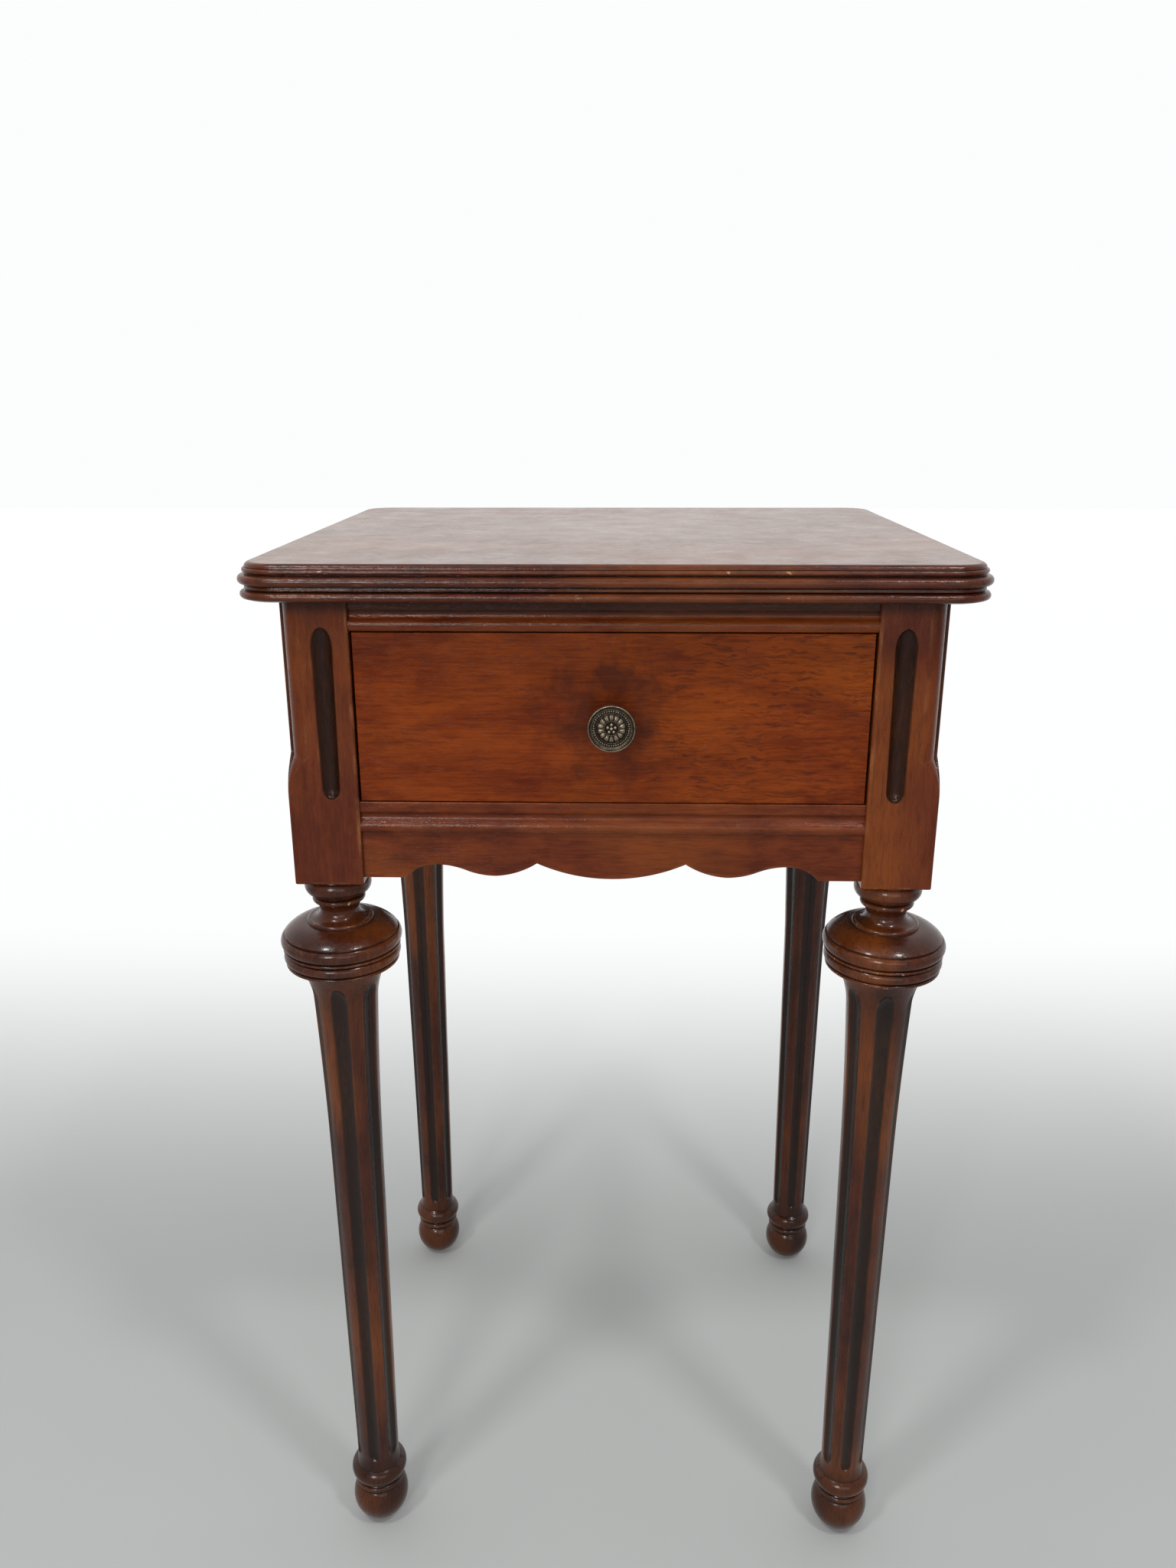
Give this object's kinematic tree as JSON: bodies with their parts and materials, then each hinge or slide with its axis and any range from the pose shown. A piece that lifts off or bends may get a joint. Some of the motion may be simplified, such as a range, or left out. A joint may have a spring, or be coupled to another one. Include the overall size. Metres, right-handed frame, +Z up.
{
  "type": "side table",
  "caption": "Free-standing wooden side table: reeded top, fluted turned legs with ringed bulbs, shaped apron and a drawer with a round brass knob that slides forward.",
  "frame": {"origin": "on the floor, under the middle of the table top's outline", "axes": "+X to the right when facing the drawer, +Y towards the back, +Z up"},
  "size_m": [0.436, 0.39, 0.737],
  "materials": {
    "mahogany_top": "satin lacquer over red-brown stained mahogany, a pale haze in the middle",
    "mahogany_posts": "satin lacquer over red-brown stained mahogany",
    "mahogany_turnings": "glossier dark red-brown stain, near-black in the flutes",
    "mahogany_case": "satin lacquer over red-brown stained mahogany",
    "mahogany_drawer_front": "satin lacquer over orange-brown mahogany veneer",
    "drawer_lining_wood": "bare aged drawer lining",
    "carcass_softwood": "bare sawn softwood",
    "beech_dowel": "bare turned beech",
    "antique_brass": "antiqued cast brass with dark hollows",
    "steel_fixings": "dull steel"
  },
  "bodies": {
    "carcass": {"apron_glue_blocks": "carcass_softwood", "back_panel": "mahogany_case", "drawer_stops": "carcass_softwood", "front_apron": "mahogany_case", "front_left_leg": "mahogany_turnings", "front_left_post": "mahogany_posts", "front_right_leg": "mahogany_turnings", "front_right_post": "mahogany_posts", "left_guide": "carcass_softwood", "left_kicker": "carcass_softwood", "left_runner": "carcass_softwood", "left_side_panel": "mahogany_case", "lower_rail": "mahogany_case", "panel_dowels": "beech_dowel", "rail_dowels": "beech_dowel", "rear_left_leg": "mahogany_turnings", "rear_left_post": "mahogany_posts", "rear_right_leg": "mahogany_turnings", "rear_right_post": "mahogany_posts", "right_guide": "carcass_softwood", "right_kicker": "carcass_softwood", "right_runner": "carcass_softwood", "right_side_panel": "mahogany_case", "runner_screws": "steel_fixings", "table_top": "mahogany_top", "top_screws": "steel_fixings", "upper_rail": "mahogany_case"},
    "drawer": {"drawer_back": "drawer_lining_wood", "drawer_bottom": "drawer_lining_wood", "drawer_bottom_nails": "steel_fixings", "drawer_front": "mahogany_drawer_front", "drawer_left_side": "drawer_lining_wood", "drawer_right_side": "drawer_lining_wood", "knob_bolt": "steel_fixings", "knob_head": "antique_brass", "knob_stem": "antique_brass", "knob_washer": "steel_fixings"}
  },
  "joints": [
    {"name": "drawer_slide", "type": "slide", "parent": "carcass", "child": "drawer", "axis": [0, -1, 0], "range_m": [0, 0.24]}
  ]
}
